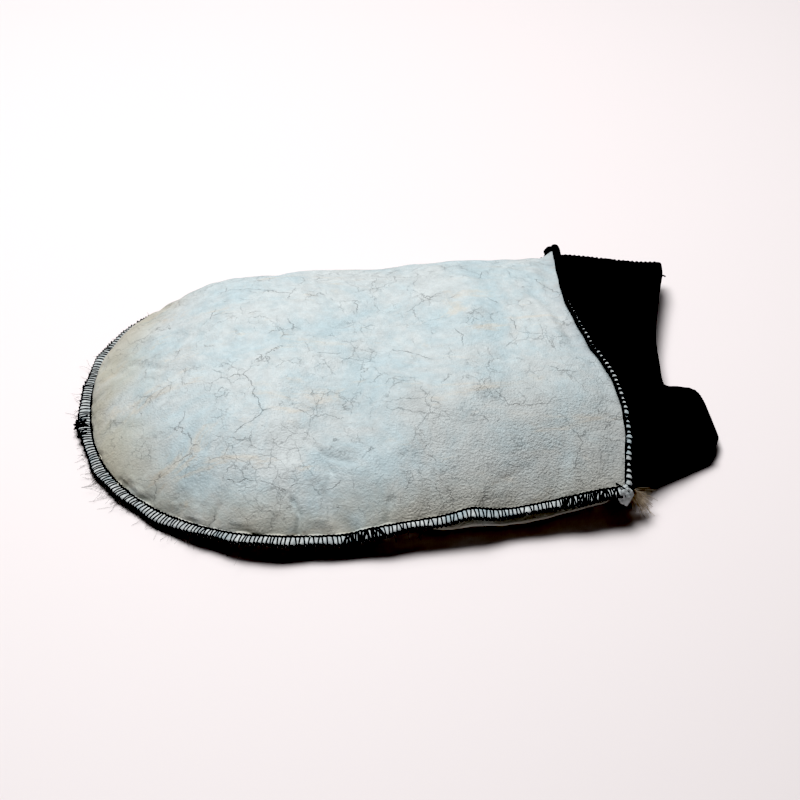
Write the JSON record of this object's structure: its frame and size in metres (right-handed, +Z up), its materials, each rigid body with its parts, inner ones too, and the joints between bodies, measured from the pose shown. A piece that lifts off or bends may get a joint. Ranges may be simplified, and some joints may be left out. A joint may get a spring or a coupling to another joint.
{
  "type": "wash mitt",
  "caption": "Sheepskin wash mitt, skin side out and wool inside, two hides overlocked round the edge, with a folded rib-knit cuff",
  "frame": {"origin": "centre of the whole mitt's box in plan, on the surface it lies on", "axes": "+X from the fingertips to the cuff's mouth, +Y across the palm, +Z up"},
  "size_m": [0.2448, 0.1658, 0.036],
  "materials": {
    "hide": "matte suede side, pale blue-grey",
    "wool": "dense natural pile, cream",
    "knit": "matte black rib knit",
    "thread": "black spun thread"
  },
  "bodies": {
    "mitt": {"top_hide": "hide", "bottom_hide": "hide", "top_wool": "wool", "bottom_wool": "wool", "edge_needle_thread": "thread", "edge_upper_looper_thread": "thread", "edge_lower_looper_thread": "thread", "edge_seam_tack": "thread", "wrist_needle_thread": "thread", "wrist_upper_looper_thread": "thread", "wrist_lower_looper_thread": "thread", "wrist_chain_tail": "thread", "cuff_sewn_edge": "knit"},
    "cuff": {"rib_cuff": "knit", "cuff_join_thread": "thread"}
  },
  "joints": [
    {"name": "cuff_fold", "type": "hinge", "parent": "mitt", "child": "cuff", "pos_m": [0.084, 0, 0.0172], "axis": [0, -1, 0], "range_deg": [-40, 45]}
  ]
}
